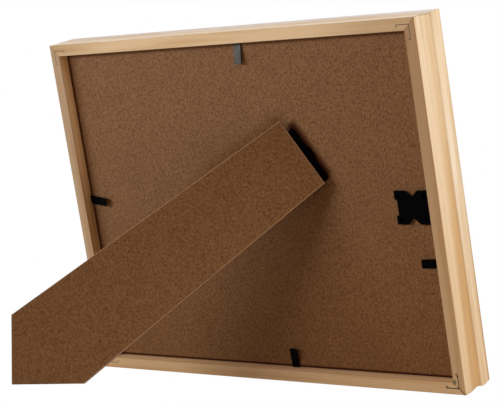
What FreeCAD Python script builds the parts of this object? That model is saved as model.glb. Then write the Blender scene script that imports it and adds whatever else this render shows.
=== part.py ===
import FreeCAD, Part

import math
import os

import Sketcher
from FreeCAD import Placement, Rotation, Vector

# Easel back photo frame for a 9 by 12 inch picture, in millimetres.
# Left, right, top and bottom are as seen from behind, where the leg is.
# The picture faces -Y, the leg and the backing board face +Y, and +Z is up.
# The frame stands leaning back on its bottom rail and on the opened leg.
# The origin is on the table, below the middle of the whole part.

# Driving dimensions

SIZES = {
    # The picture that the frame takes, and the play of the panes in the rebate
    "photo_width": 304.8,
    "photo_height": 228.6,
    "photo_margin": 0.5,
    "pane_play": 0.5,
    # The moulding's section
    "rail_width": 8.2,
    "rebate_width": 6.0,
    "frame_depth": 29.0,
    "board_recess": 7.7,
    "side_flat": 7.0,
    "lip_start": 18.5,
    "side_fall": 1.0,
    "lip_overhang": 0.5,
    "edge_round": 0.5,
    "lip_round": 0.9,
    "sight_round": 1.6,
    # The panes in the rebate
    "board_thickness": 3.0,
    "insert_thickness": 0.3,
    "glass_thickness": 2.0,
    # The V nails that pull the mitres together
    "nail_inset": 4.3,
    "nail_leg": 9.2,
    "nail_sheet": 0.6,
    "nail_curl": 0.7,
    "nail_depth": 7.0,
    # The bendable tabs that hold the board
    "tab_width": 6.0,
    "tab_stock": 21.5,
    "tab_sheet": 0.6,
    "tab_lift": 0.05,
    "tab_rise": 10.0,
    "tab_tip_chamfer": 0.7,
    "barb_notch": 0.8,
    "top_tab_offset": 11.0,
    "bottom_tab_offset": 18.6,
    "left_tab_offset": 5.7,
    "right_tab_offset": -37.4,
    "top_tab_reach": 15.3,
    "bottom_tab_reach": 14.2,
    "left_tab_reach": 18.0,
    "right_tab_reach": 15.0,
    "left_tab_turn": -6.0,
    "bottom_tab_turn": -6.0,
    # The hanger plate beside the right rail
    "hanger_inset": 24.6,
    "hanger_length": 26.5,
    "hanger_height": 22.6,
    "hanger_sheet": 0.7,
    "hanger_standoff": 1.5,
    "hanger_round": 0.7,
    "notch_mouth": 9.6,
    "notch_floor": 1.6,
    "notch_depth": 3.8,
    "hook_length": 10.7,
    "hook_depth": 1.8,
    "foot_diameter": 4.6,
    "foot_inset": 3.4,
    "dimple_diameter": 3.0,
    "dimple_depth": 1.2,
    "prong_diameter": 1.5,
    "prong_clearance": 0.05,
    # The hinge
    "hinge_inset": 104.1,
    "hinge_height": 161.9,
    "hinge_shift": 2.3,
    "hinge_width": 41.5,
    "hinge_sheet": 0.75,
    "pin_radius": 1.1,
    "pin_clearance": 0.05,
    "knuckle_lift": 0.15,
    "pin_head_radius": 1.6,
    "pin_head_height": 0.4,
    "leaf_length": 22.0,
    "leaf_round": 2.5,
    "middle_knuckle": 16.0,
    "knuckle_gap": 0.25,
    "swing_gap": 0.3,
    "opening_angle": 30.2,
    "stop_width": 8.0,
    "stop_gap": 0.02,
    # The rivets through the board and the spurs in the leg
    "rivet_spread": 24.0,
    "rivet_row": 9.0,
    "rivet_step": 6.5,
    "rivet_shank_radius": 1.1,
    "rivet_head_radius": 2.1,
    "rivet_head_height": 0.55,
    "rivet_tail_height": 0.4,
    "rivet_clearance": 0.05,
    "spur_spread": 15.0,
    "spur_near": 6.0,
    "spur_far": 19.0,
    "spur_length": 2.2,
    "spur_size": 1.4,
    # The leg
    "leg_thickness": 3.0,
    "leg_end_gap": 1.9,
    "leg_end_width": 50.7,
    "leg_foot_width": 70.6,
    "foot_side_gap": 0.6,
    "foot_low_gap": 1.4,
    "foot_point_shift": 3.6,
}

# How far a cutting shape runs past the faces that it cuts
CUT_OVERRUN = 2.0

doc = FreeCAD.newDocument("photo_frame")
sheet = doc.addObject("Spreadsheet::Sheet", "Sizes")
for row, (alias, number) in enumerate(SIZES.items(), start=1):
    sheet.set(f"A{row}", alias)
    sheet.set(f"B{row}", str(number))
    sheet.setAlias(f"B{row}", alias)
doc.recompute()


class Size:
    """A length or angle that carries both its number and its formula in the sheet."""

    def __init__(self, number, formula):
        self.number = float(number)
        self.formula = formula

    def __add__(self, other):
        other = as_size(other)
        return Size(self.number + other.number, f"({self.formula} + {other.formula})")

    def __sub__(self, other):
        other = as_size(other)
        return Size(self.number - other.number, f"({self.formula} - {other.formula})")

    def __mul__(self, other):
        other = as_size(other)
        return Size(self.number * other.number, f"({self.formula} * {other.formula})")

    def __truediv__(self, other):
        other = as_size(other)
        return Size(self.number / other.number, f"({self.formula} / {other.formula})")

    def __neg__(self):
        return Size(-self.number, f"(0 - {self.formula})")

    def __radd__(self, other):
        return as_size(other) + self

    def __rsub__(self, other):
        return as_size(other) - self

    def __rmul__(self, other):
        return as_size(other) * self


def as_size(value):
    """Takes a plain number as a size whose formula is that number."""
    if isinstance(value, Size):
        return value
    return Size(value, f"{float(value):.12f}")


def size(alias):
    return Size(SIZES[alias], f"Sizes.{alias}")


ZERO = as_size(0)
overrun = as_size(CUT_OVERRUN)

photo_width = size("photo_width")
photo_height = size("photo_height")
photo_margin = size("photo_margin")
pane_play = size("pane_play")
rail_width = size("rail_width")
rebate_width = size("rebate_width")
frame_depth = size("frame_depth")
board_recess = size("board_recess")
side_flat = size("side_flat")
lip_start = size("lip_start")
side_fall = size("side_fall")
lip_overhang = size("lip_overhang")
edge_round = size("edge_round")
lip_round = size("lip_round")
sight_round = size("sight_round")
board_thickness = size("board_thickness")
insert_thickness = size("insert_thickness")
glass_thickness = size("glass_thickness")
hinge_sheet = size("hinge_sheet")
pin_radius = size("pin_radius")
leg_thickness = size("leg_thickness")
tab_sheet = size("tab_sheet")
tab_width = size("tab_width")

# Derived sizes

pane_width = photo_width + 2 * photo_margin
pane_height = photo_height + 2 * photo_margin
opening_width = pane_width + 2 * pane_play
opening_height = pane_height + 2 * pane_play
back_width = opening_width + 2 * rail_width
back_height = opening_height + 2 * rail_width
shelf_depth = board_recess + board_thickness + insert_thickness + glass_thickness
sight_edge = rail_width + rebate_width
knuckle_bore = pin_radius + size("pin_clearance")
knuckle_radius = knuckle_bore + hinge_sheet
pin_height = knuckle_radius + size("knuckle_lift")
leg_inner_face = knuckle_radius
leg_outer_face = leg_inner_face + leg_thickness


# The leg's directions: folded, its point lies just inside the rails' lower left corner

HALF_TURN = 180.0
RIGHT_ANGLE = 90.0
side_wall = SIZES["rail_width"] + SIZES["foot_side_gap"]
low_wall = SIZES["rail_width"] + SIZES["foot_low_gap"]
run_across = back_width.number - SIZES["hinge_inset"] - side_wall
run_down = SIZES["hinge_height"] - low_wall
point_distance = math.hypot(run_across, run_down)
point_shift = SIZES["foot_point_shift"]
leg_reach = math.sqrt(point_distance * point_distance - point_shift * point_shift)
leg_slant = math.atan2(run_across, run_down) + math.atan2(point_shift, leg_reach)
opening = math.radians(SIZES["opening_angle"])

hinge_point = Vector(
    SIZES["hinge_inset"] - back_width.number / 2,
    pin_height.number - SIZES["board_recess"],
    SIZES["hinge_height"],
)
hinge_placement = Placement(hinge_point, Rotation(Vector(0, 1, 0), -math.degrees(leg_slant)))
open_turn = Placement(Vector(), Rotation(Vector(1, 0, 0), SIZES["opening_angle"]))
leg_placement = hinge_placement.multiply(open_turn)


def leg_outline():
    """Gives the leg's five corners; the foot's two edges run along the rails when folded."""
    end_half = size("leg_end_width") / 2
    foot_half = size("leg_foot_width") / 2
    end_gap = size("leg_end_gap")
    shift = size("foot_point_shift")
    taper = (foot_half.number - end_half.number) / (leg_reach - end_gap.number)
    cosine = math.cos(leg_slant)
    sine = math.sin(leg_slant)
    low_edge = (foot_half - shift) / (cosine + taper * sine)
    side_edge = (foot_half + shift) / (sine + taper * cosine)
    return [
        (end_half, -end_gap),
        (-end_half, -end_gap),
        (-shift - low_edge * cosine, low_edge * sine - leg_reach),
        (-shift, as_size(-leg_reach)),
        (side_edge * sine - shift, side_edge * cosine - leg_reach),
    ]


def opened_leg_corners():
    """Gives the opened leg's ten corners in the frame's own directions."""
    return [
        leg_placement.multVec(Vector(across.number, face.number, along.number))
        for across, along in leg_outline()
        for face in (leg_inner_face, leg_outer_face)
    ]


def lean_angle():
    """Finds the lean at which the rounded bottom edge and the foot first touch one plane."""
    edge = SIZES["edge_round"]
    leans = []
    for corner in opened_leg_corners():
        rise = corner.z - edge
        reach = corner.y + edge
        distance = math.hypot(rise, reach)
        leans.append(math.acos(-edge / distance) - math.atan2(reach, rise))
    return min(leans)


lean = lean_angle()


def standing_placement():
    """Leans the frame back about its bottom edge and centres the whole part on the origin."""
    tilt = Placement(Vector(), Rotation(Vector(1, 0, 0), -math.degrees(lean)))
    lip = SIZES["lip_round"]
    lip_centre = Vector(0, lip - SIZES["frame_depth"], lip - SIZES["lip_overhang"])
    front = tilt.multVec(lip_centre).y - lip
    rear = max(tilt.multVec(corner).y for corner in opened_leg_corners())
    edge = SIZES["edge_round"]
    table = tilt.multVec(Vector(0, -edge, edge)).z - edge
    return Placement(Vector(0, -(front + rear) / 2, -table), tilt.Rotation)


standing = standing_placement()


# Helpers for sketches and features

def origin_plane(body, role):
    for feature in body.Origin.OriginFeatures:
        if feature.Role == role:
            return feature
    raise ValueError(role)


def new_body(label, placement):
    body = doc.addObject("PartDesign::Body", label)
    body.Label = label
    body.Placement = placement
    return body


def new_sketch(body, name, role, offset=0.0):
    """Adds a sketch on an origin plane of the body, moved along that plane's normal."""
    sketch = body.newObject("Sketcher::SketchObject", name)
    sketch.AttachmentSupport = [(origin_plane(body, role), "")]
    sketch.MapMode = "FlatFace"
    sketch.AttachmentOffset = Placement(Vector(0, 0, offset), Rotation())
    return sketch


def hold(sketch, kind, references, value, name):
    """Adds a dimension to a sketch and binds it to its formula."""
    index = sketch.addConstraint(Sketcher.Constraint(kind, *references, value.number))
    sketch.renameConstraint(index, name)
    sketch.setExpression(f"Constraints.{name}", value.formula)


def hold_point(sketch, geometry, end, point, name):
    across, along = point
    hold(sketch, "DistanceX", (-1, 1, geometry, end), across, f"{name}_across")
    hold(sketch, "DistanceY", (-1, 1, geometry, end), along, f"{name}_along")


def flat(point):
    return Vector(point[0].number, point[1].number, 0)


def draw_outline(sketch, points, arcs=None):
    """Draws a closed outline; arcs gives a mid point and a centre by start index."""
    arcs = arcs or {}
    prefix = f"outline{sketch.GeometryCount}"
    pieces = []
    for index, start in enumerate(points):
        finish = points[(index + 1) % len(points)]
        if index in arcs:
            middle = flat(arcs[index][0])
            curve = Part.Arc(flat(start), middle, flat(finish))
        else:
            curve = Part.LineSegment(flat(start), flat(finish))
        geometry = sketch.addGeometry(curve, False)
        begins = (sketch.getPoint(geometry, 1) - flat(start)).Length
        ends = (sketch.getPoint(geometry, 2) - flat(start)).Length
        first = 1 if begins <= ends else 2
        pieces.append((geometry, first, 3 - first))
    for index, (geometry, first, last) in enumerate(pieces):
        following, following_first, _ = pieces[(index + 1) % len(pieces)]
        join = Sketcher.Constraint("Coincident", geometry, last, following, following_first)
        sketch.addConstraint(join)
        name = f"{prefix}_{index}"
        hold_point(sketch, geometry, first, points[index], name)
        if index in arcs:
            chord = flat(points[(index + 1) % len(points)]) - flat(points[index])
            across, along = arcs[index][1]
            if abs(chord.y) > abs(chord.x):
                hold(sketch, "DistanceX", (-1, 1, geometry, 3), across, f"{name}_centre")
            else:
                hold(sketch, "DistanceY", (-1, 1, geometry, 3), along, f"{name}_centre")


def draw_rectangle(sketch, low, high):
    corners = [low, (high[0], low[1]), high, (low[0], high[1])]
    draw_outline(sketch, corners)


def draw_circle(sketch, centre, radius):
    geometry = sketch.addGeometry(
        Part.Circle(flat(centre), Vector(0, 0, 1), radius.number), False
    )
    hold_point(sketch, geometry, 3, centre, f"circle{geometry}")
    hold(sketch, "Radius", (geometry,), radius, f"circle{geometry}_radius")


def extrude(body, kind, name, sketch, length, symmetric=False, backwards=False):
    """Pads or pockets a sketch by a bound length."""
    feature = body.newObject(f"PartDesign::{kind}", name)
    feature.Profile = sketch
    feature.setExpression("Length", length.formula)
    feature.Midplane = symmetric
    feature.Reversed = backwards
    body.Tip = feature
    doc.recompute()
    return feature


def cut_changes(body, feature_before, name):
    """Stops if a cut left the volume as it was."""
    removed = feature_before - body.Shape.Volume
    if removed <= 0:
        raise ValueError(f"{name} cuts nothing")


def pocket(body, name, sketch, length, symmetric=False, backwards=False):
    before = body.Shape.Volume
    feature = extrude(body, "Pocket", name, sketch, length, symmetric, backwards)
    cut_changes(body, before, name)
    return feature


def revolve(body, name, sketch):
    """Turns a sketch once round its vertical axis."""
    feature = body.newObject("PartDesign::Revolution", name)
    feature.Profile = sketch
    feature.ReferenceAxis = (sketch, ["V_Axis"])
    feature.Angle = 2 * HALF_TURN
    body.Tip = feature
    doc.recompute()
    return feature


def round_edges(body, name, base, wanted, radius):
    """Fillets the edges of the base feature for which wanted(edge) is true."""
    names = [
        f"Edge{index}"
        for index, edge in enumerate(base.Shape.Edges, start=1)
        if wanted(edge)
    ]
    fillet = body.newObject("PartDesign::Fillet", name)
    fillet.Base = (base, names)
    fillet.setExpression("Radius", radius.formula)
    body.Tip = fillet
    doc.recompute()
    return fillet


def runs_along_y(edge):
    """Tells whether an edge is straight and square to the sheet that it bounds."""
    if len(edge.Vertexes) != 2:
        return False
    first, last = (vertex.Point for vertex in edge.Vertexes)
    straightness_share = 1e-6
    tolerance = straightness_share * edge.Length
    return abs(first.x - last.x) < tolerance and abs(first.z - last.z) < tolerance


def box(label, length, width, height, corner, placement):
    """A plain pane with its lowest corner at a place in the frame's own directions."""
    pane = doc.addObject("Part::Box", label)
    pane.Label = label
    pane.setExpression("Length", length.formula)
    pane.setExpression("Width", width.formula)
    pane.setExpression("Height", height.formula)
    shift = Placement(Vector(*(value.number for value in corner)), Rotation())
    pane.Placement = placement.multiply(shift)
    return pane


def turned(x, y, z, angle):
    """A place in the frame, turned about the frame's depth direction, on the standing part."""
    place = Placement(Vector(x, y, z), Rotation(Vector(0, 1, 0), angle))
    return standing.multiply(place)


half_width = back_width.number / 2
half_height = back_height.number / 2
centre_height = half_height

# The rails: one section, cut to length and mitred at both ends


def rail_section(sketch):
    """Back face, side, rounded fall, lip, front face, sight edge and rebate, as depth and inset."""
    lip_foot = -lip_overhang
    front = -frame_depth
    arc_share = math.sqrt(0.5)
    bend_share = 1 - arc_share
    fall_run = lip_start - side_flat
    fall_radius = (fall_run * fall_run + side_fall * side_fall) / (2 * side_fall)
    half_turn_of_fall = math.asin(fall_run.number / fall_radius.number) / 2
    fall_middle = (
        -side_flat - fall_radius * math.sin(half_turn_of_fall),
        fall_radius * (1 - math.cos(half_turn_of_fall)),
    )
    points = [
        (ZERO, rail_width),
        (ZERO, edge_round),
        (-edge_round, ZERO),
        (-side_flat, ZERO),
        (-lip_start, side_fall),
        (-lip_start, lip_foot),
        (front + lip_round, lip_foot),
        (front, lip_foot + lip_round),
        (front, sight_edge - sight_round),
        (front + sight_round, sight_edge),
        (-shelf_depth, sight_edge),
        (-shelf_depth, rail_width),
    ]
    arcs = {
        1: (
            (-edge_round * bend_share, edge_round * bend_share),
            (-edge_round, edge_round),
        ),
        3: (fall_middle, (-side_flat, fall_radius)),
        6: (
            (front + lip_round * bend_share, lip_foot + lip_round * bend_share),
            (front + lip_round, lip_foot + lip_round),
        ),
        8: (
            (front + sight_round * bend_share, sight_edge - sight_round * bend_share),
            (front + sight_round, sight_edge - sight_round),
        ),
    }
    draw_outline(sketch, points, arcs)


def rail_blank(label, length, placement):
    """Pads the section and cuts both ends at forty-five degrees."""
    body = new_body(f"{label}_blank", placement)
    section = new_sketch(body, f"{label}_section", "YZ_Plane")
    rail_section(section)
    extrude(body, "Pad", f"{label}_bar", section, length + 2 * lip_overhang, symmetric=True)
    mitres = new_sketch(body, f"{label}_mitres", "XZ_Plane")
    outer = length / 2 + lip_overhang + overrun
    inner = length / 2 - sight_edge - overrun
    low = -lip_overhang - overrun
    high = sight_edge + overrun
    draw_outline(mitres, [(outer, low), (outer, high), (inner, high)])
    draw_outline(mitres, [(-outer, low), (-inner, high), (-outer, high)])
    pocket(body, f"{label}_mitre_cut", mitres, 2 * (frame_depth + overrun), symmetric=True)
    return body


# The V nails, one across each mitre


def v_nail(label, placement):
    """A V of thin strip with curled ends, driven flush with the back faces."""
    body = new_body(label, placement)
    sketch = new_sketch(body, f"{label}_strip", "XZ_Plane")
    half = size("nail_sheet") / 2
    leg = size("nail_leg")
    curl = size("nail_curl")
    points = [
        (-half, -half),
        (leg, -half),
        (leg, 2 * curl + half),
        (leg, 2 * curl - half),
        (leg, half),
        (half, half),
        (half, leg),
        (2 * curl - half, leg),
        (2 * curl + half, leg),
        (-half, leg),
    ]
    arcs = {
        1: ((leg + curl + half, curl), (leg, curl)),
        3: ((leg + curl - half, curl), (leg, curl)),
        6: ((curl, leg + curl - half), (curl, leg)),
        8: ((curl, leg + curl + half), (curl, leg)),
    }
    draw_outline(sketch, points, arcs)
    extrude(body, "Pad", f"{label}_depth", sketch, size("nail_depth"))
    return body


# The retaining tabs: a barbed root in the rail and a tongue that bends at the rail's wall


def tab_root(label, placement, reach):
    """The driven part of a tab: what its reach leaves of the strip, with three barbs."""
    body = new_body(label, placement)
    sketch = new_sketch(body, f"{label}_outline", "XZ_Plane")
    half = tab_width / 2
    narrow = half - size("barb_notch")
    depth = size("tab_stock") - reach
    tooth_share = 0.27
    tooth = depth * tooth_share
    right_side = [
        (half, ZERO),
        (half, -tooth),
        (narrow, -tooth),
        (half, -2 * tooth),
        (narrow, -2 * tooth),
        (half, -3 * tooth),
        (narrow, -depth),
    ]
    left_side = [(-across, along) for across, along in reversed(right_side)]
    draw_outline(sketch, right_side + left_side)
    extrude(body, "Pad", f"{label}_sheet", sketch, tab_sheet)
    return body


def tab_tongue(label, placement, reach):
    rise = Placement(Vector(), Rotation(Vector(1, 0, 0), -SIZES["tab_rise"]))
    body = new_body(label, placement.multiply(rise))
    sketch = new_sketch(body, f"{label}_outline", "XZ_Plane")
    half = tab_width / 2
    chamfer = size("tab_tip_chamfer")
    draw_outline(sketch, [
        (-half, ZERO),
        (half, ZERO),
        (half, reach - chamfer),
        (half - chamfer, reach),
        (-half + chamfer, reach),
        (-half, reach - chamfer),
    ])
    extrude(body, "Pad", f"{label}_sheet", sketch, tab_sheet)
    return body


tab_height = tab_sheet.number + SIZES["tab_lift"] - SIZES["board_recess"]
wall_x = half_width - rail_width.number
wall_z = half_height - rail_width.number
left_turn = SIZES["left_tab_turn"]
bottom_turn = SIZES["bottom_tab_turn"]
left_clear = tab_width.number / 2 * abs(math.sin(math.radians(left_turn)))
bottom_clear = tab_width.number / 2 * abs(math.sin(math.radians(bottom_turn)))
tab_placements = {
    "top": turned(-SIZES["top_tab_offset"], tab_height, centre_height + wall_z, HALF_TURN),
    "bottom": turned(
        -SIZES["bottom_tab_offset"],
        tab_height,
        centre_height - wall_z + bottom_clear,
        bottom_turn,
    ),
    "left": turned(
        wall_x - left_clear,
        tab_height,
        centre_height + SIZES["left_tab_offset"],
        left_turn - RIGHT_ANGLE,
    ),
    "right": turned(
        -wall_x, tab_height, centre_height + SIZES["right_tab_offset"], RIGHT_ANGLE
    ),
}
roots = {}
tongues = {}
for side, placement in tab_placements.items():
    reach = size(f"{side}_tab_reach")
    roots[side] = tab_root(f"{side}_tab_root", placement, reach)
    tongues[side] = tab_tongue(f"{side}_tab", placement, reach)

inset = SIZES["nail_inset"]
nail_placements = {
    "bottom_right": turned(inset - half_width, 0, inset, 0),
    "bottom_left": turned(half_width - inset, 0, inset, -RIGHT_ANGLE),
    "top_left": turned(half_width - inset, 0, back_height.number - inset, HALF_TURN),
    "top_right": turned(inset - half_width, 0, back_height.number - inset, RIGHT_ANGLE),
}
nails = {
    corner: v_nail(f"{corner}_v_nail", placement)
    for corner, placement in nail_placements.items()
}

rail_plan = {
    "bottom": (back_width, turned(0, 0, 0, 0), ("bottom_left", "bottom_right")),
    "top": (
        back_width,
        turned(0, 0, back_height.number, HALF_TURN),
        ("top_left", "top_right"),
    ),
    "left": (
        back_height,
        turned(half_width, 0, centre_height, -RIGHT_ANGLE),
        ("top_left", "bottom_left"),
    ),
    "right": (
        back_height,
        turned(-half_width, 0, centre_height, RIGHT_ANGLE),
        ("top_right", "bottom_right"),
    ),
}


def rail(side):
    """A mitred rail with the slots that its tab root and two V nails fill."""
    length, placement, corners = rail_plan[side]
    blank = rail_blank(f"{side}_rail", length, placement)
    driven = doc.addObject("Part::MultiFuse", f"{side}_rail_driven_steel")
    driven.Shapes = [roots[side]] + [nails[corner] for corner in corners]
    slotted = doc.addObject("Part::Cut", f"{side}_rail")
    slotted.Label = f"{side}_rail"
    slotted.Base = blank
    slotted.Tool = driven
    doc.recompute()
    return slotted


rails = [rail(side) for side in rail_plan]

# The panes: glass against the rebate's shelf, the photo insert, then the board

glass = box(
    "glass_pane",
    pane_width,
    glass_thickness,
    pane_height,
    (-pane_width / 2, -shelf_depth, rail_width + pane_play),
    standing,
)
insert = box(
    "photo_insert",
    photo_width,
    insert_thickness,
    photo_height,
    (
        -photo_width / 2,
        glass_thickness - shelf_depth,
        rail_width + pane_play + photo_margin,
    ),
    standing,
)

# Where the hinge and the hanger are fastened, in their own directions

rivet_half = size("rivet_spread") / 2
rivet_row = size("rivet_row")
rivet_places = [
    (rivet_half, -rivet_row),
    (ZERO, -rivet_row - size("rivet_step")),
    (-rivet_half, -rivet_row),
]
hanger_foot_x = size("hanger_length") / 2 - size("foot_inset")
hanger_foot_z = size("hanger_height") / 2 - size("foot_inset")
hanger_feet = [
    (hanger_foot_x, hanger_foot_z),
    (hanger_foot_x, -hanger_foot_z),
    (-hanger_foot_x, hanger_foot_z),
    (-hanger_foot_x, -hanger_foot_z),
]
hinge_shift = Placement(Vector(-SIZES["hinge_shift"], 0, 0), Rotation())
hinge_in_frame = hinge_placement.multiply(hinge_shift)
hanger_in_frame = Placement(
    Vector(SIZES["hanger_inset"] - half_width, -SIZES["board_recess"], centre_height),
    Rotation(),
)


def on_board(place, in_frame):
    """Moves a fastener's place to the board's own centre, as across and up."""
    point = in_frame.multVec(Vector(place[0].number, 0, place[1].number))
    return as_size(point.x), as_size(point.z - centre_height)


def backing_board():
    """The hardboard back, drilled for the hinge rivets and the hanger's prongs."""
    back_face = Placement(Vector(0, -SIZES["board_recess"], centre_height), Rotation())
    body = new_body("backing_board", standing.multiply(back_face))
    sketch = new_sketch(body, "board_outline", "XZ_Plane")
    draw_rectangle(
        sketch,
        (-pane_width / 2, -pane_height / 2),
        (pane_width / 2, pane_height / 2),
    )
    extrude(body, "Pad", "board_sheet", sketch, board_thickness)
    through = 2 * (board_thickness + overrun)
    clearance = size("rivet_clearance")
    shanks = new_sketch(body, "board_rivet_holes", "XZ_Plane")
    tails = new_sketch(
        body, "board_rivet_tails", "XZ_Plane", SIZES["board_thickness"]
    )
    for place in rivet_places:
        centre = on_board(place, hinge_in_frame)
        draw_circle(shanks, centre, size("rivet_shank_radius") + clearance)
        draw_circle(tails, centre, size("rivet_head_radius") + clearance)
    pocket(body, "board_rivet_drill", shanks, through, symmetric=True)
    pocket(body, "board_tail_sink", tails, 2 * size("rivet_tail_height"), symmetric=True)
    prongs = new_sketch(body, "board_prong_holes", "XZ_Plane")
    for place in hanger_feet:
        radius = size("prong_diameter") / 2 + size("prong_clearance")
        draw_circle(prongs, on_board(place, hanger_in_frame), radius)
    pocket(body, "board_prong_drill", prongs, through, symmetric=True)
    return body


def hanger_plate():
    """A stamped steel plate on four pressed feet, notched so that a nail's shank hooks it."""
    body = new_body("hanger_plate", standing.multiply(hanger_in_frame))
    standoff = size("hanger_standoff")
    sheet_size = size("hanger_sheet")
    half_length = size("hanger_length") / 2
    half_tall = size("hanger_height") / 2
    mouth = size("notch_mouth") / 2
    floor = size("notch_floor") / 2
    notch = half_tall - size("notch_depth")
    hook = size("hook_length") / 2
    inner = half_length - size("hook_depth")
    quarter = [
        (half_length, hook),
        (half_length, half_tall),
        (mouth, half_tall),
        (floor, notch),
    ]
    upper = [(inner, hook)] + quarter
    upper = upper + [(-across, along) for across, along in reversed(upper)]
    lower = [(-across, -along) for across, along in upper]
    face = standoff + sheet_size
    sketch = new_sketch(body, "hanger_outline", "XZ_Plane", -face.number)
    draw_outline(sketch, upper + lower)
    plate = extrude(body, "Pad", "hanger_sheet_metal", sketch, sheet_size)
    round_edges(body, "hanger_corners", plate, runs_along_y, size("hanger_round"))
    feet = new_sketch(body, "hanger_feet", "XZ_Plane", -standoff.number)
    dimples = new_sketch(body, "hanger_dimples", "XZ_Plane", -face.number)
    prongs = new_sketch(body, "hanger_prongs", "XZ_Plane")
    for place in hanger_feet:
        draw_circle(feet, place, size("foot_diameter") / 2)
        draw_circle(dimples, place, size("dimple_diameter") / 2)
        draw_circle(prongs, place, size("prong_diameter") / 2)
    extrude(body, "Pad", "hanger_feet_pad", feet, standoff)
    pocket(
        body, "hanger_dimple_cut", dimples, 2 * size("dimple_depth"), symmetric=True
    )
    extrude(body, "Pad", "hanger_prong_pad", prongs, board_thickness)
    return body


board = backing_board()
hanger = hanger_plate()

# The hinge: two leaves rolled round one pin, with the leg's stop on the middle knuckle


def leaf_corner(free_end):
    """Picks the two upright edges at a leaf's free end."""
    def wanted(edge):
        if not runs_along_y(edge):
            return False
        return edge.Vertexes[0].Point.z < free_end / 2
    return wanted


def board_leaf():
    body = new_body("hinge_board_leaf", standing.multiply(hinge_in_frame))
    width = size("hinge_width")
    plate = new_sketch(body, "board_leaf_strip", "YZ_Plane")
    leaf_end = -size("leaf_length")
    draw_rectangle(plate, (-pin_height, leaf_end), (hinge_sheet - pin_height, ZERO))
    strip = extrude(body, "Pad", "board_leaf_sheet", plate, width, symmetric=True)
    wanted = leaf_corner(leaf_end.number)
    round_edges(body, "board_leaf_corners", strip, wanted, size("leaf_round"))
    barrel = new_sketch(body, "board_leaf_barrel", "YZ_Plane")
    draw_circle(barrel, (ZERO, ZERO), knuckle_radius)
    draw_circle(barrel, (ZERO, ZERO), knuckle_bore)
    extrude(body, "Pad", "board_leaf_roll", barrel, width, symmetric=True)
    gap = new_sketch(body, "board_leaf_gap", "YZ_Plane")
    swing = knuckle_radius + size("swing_gap")
    draw_rectangle(gap, (-swing, -swing), (swing, swing))
    opening_length = size("middle_knuckle") + 2 * size("knuckle_gap")
    pocket(body, "board_leaf_gap_cut", gap, opening_length, symmetric=True)
    holes = new_sketch(body, "board_leaf_holes", "XZ_Plane")
    radius = size("rivet_shank_radius") + size("rivet_clearance")
    for place in rivet_places:
        draw_circle(holes, place, radius)
    pocket(body, "board_leaf_drill", holes, 2 * (knuckle_radius + overrun), symmetric=True)
    return body


spur_half = size("spur_spread") / 2
spur_places = [
    (spur_half, -size("spur_near")),
    (-spur_half, -size("spur_near")),
    (spur_half, -size("spur_far")),
    (-spur_half, -size("spur_far")),
]


def leg_leaf():
    leaf_placement = leg_placement.multiply(hinge_shift)
    body = new_body("hinge_leg_leaf", standing.multiply(leaf_placement))
    middle = size("middle_knuckle")
    swing = knuckle_radius + size("swing_gap")
    leaf_end = -size("leaf_length")
    plate = new_sketch(body, "leg_leaf_strip", "YZ_Plane")
    draw_rectangle(plate, (knuckle_bore, leaf_end), (knuckle_radius, -swing))
    width = size("hinge_width")
    strip = extrude(body, "Pad", "leg_leaf_sheet", plate, width, symmetric=True)
    wanted = leaf_corner(leaf_end.number)
    round_edges(body, "leg_leaf_corners", strip, wanted, size("leaf_round"))
    neck = new_sketch(body, "leg_leaf_neck", "YZ_Plane")
    draw_rectangle(neck, (knuckle_bore, -swing), (knuckle_radius, ZERO))
    extrude(body, "Pad", "leg_leaf_neck_sheet", neck, middle, symmetric=True)
    barrel = new_sketch(body, "leg_leaf_barrel", "YZ_Plane")
    draw_circle(barrel, (ZERO, ZERO), knuckle_radius)
    draw_circle(barrel, (ZERO, ZERO), knuckle_bore)
    extrude(body, "Pad", "leg_leaf_roll", barrel, middle, symmetric=True)
    stop = new_sketch(body, "leg_leaf_stop", "YZ_Plane")
    half_sheet = hinge_sheet / 2
    drop = pin_height - size("stop_gap") - half_sheet * math.cos(opening)
    stop_reach = drop / math.sin(opening)
    stop_root = knuckle_bore + half_sheet
    draw_rectangle(stop, (-half_sheet, stop_root), (half_sheet, stop_reach))
    extrude(body, "Pad", "leg_leaf_stop_toe", stop, size("stop_width"), symmetric=True)
    spurs = new_sketch(body, "leg_leaf_spurs", "XZ_Plane", -knuckle_radius.number)
    half_spur = size("spur_size") / 2
    for across, along in spur_places:
        low = (across - half_spur, along - half_spur)
        high = (across + half_spur, along + half_spur)
        draw_rectangle(spurs, low, high)
    extrude(body, "Pad", "leg_leaf_spur_pad", spurs, size("spur_length"), backwards=True)
    return body


def hinge_pin():
    body = new_body("hinge_pin", standing.multiply(hinge_in_frame))
    sketch = new_sketch(body, "pin_half_section", "XZ_Plane")
    half = size("hinge_width") / 2
    head = half + size("pin_head_height")
    head_radius = size("pin_head_radius")
    draw_outline(sketch, [
        (-head, ZERO),
        (-head, pin_radius),
        (-half, head_radius),
        (-half, pin_radius),
        (half, pin_radius),
        (half, head_radius),
        (head, pin_radius),
        (head, ZERO),
    ])
    pin = body.newObject("PartDesign::Revolution", "pin_turning")
    pin.Profile = sketch
    pin.ReferenceAxis = (sketch, ["H_Axis"])
    pin.Angle = 2 * HALF_TURN
    body.Tip = pin
    doc.recompute()
    return body


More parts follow.
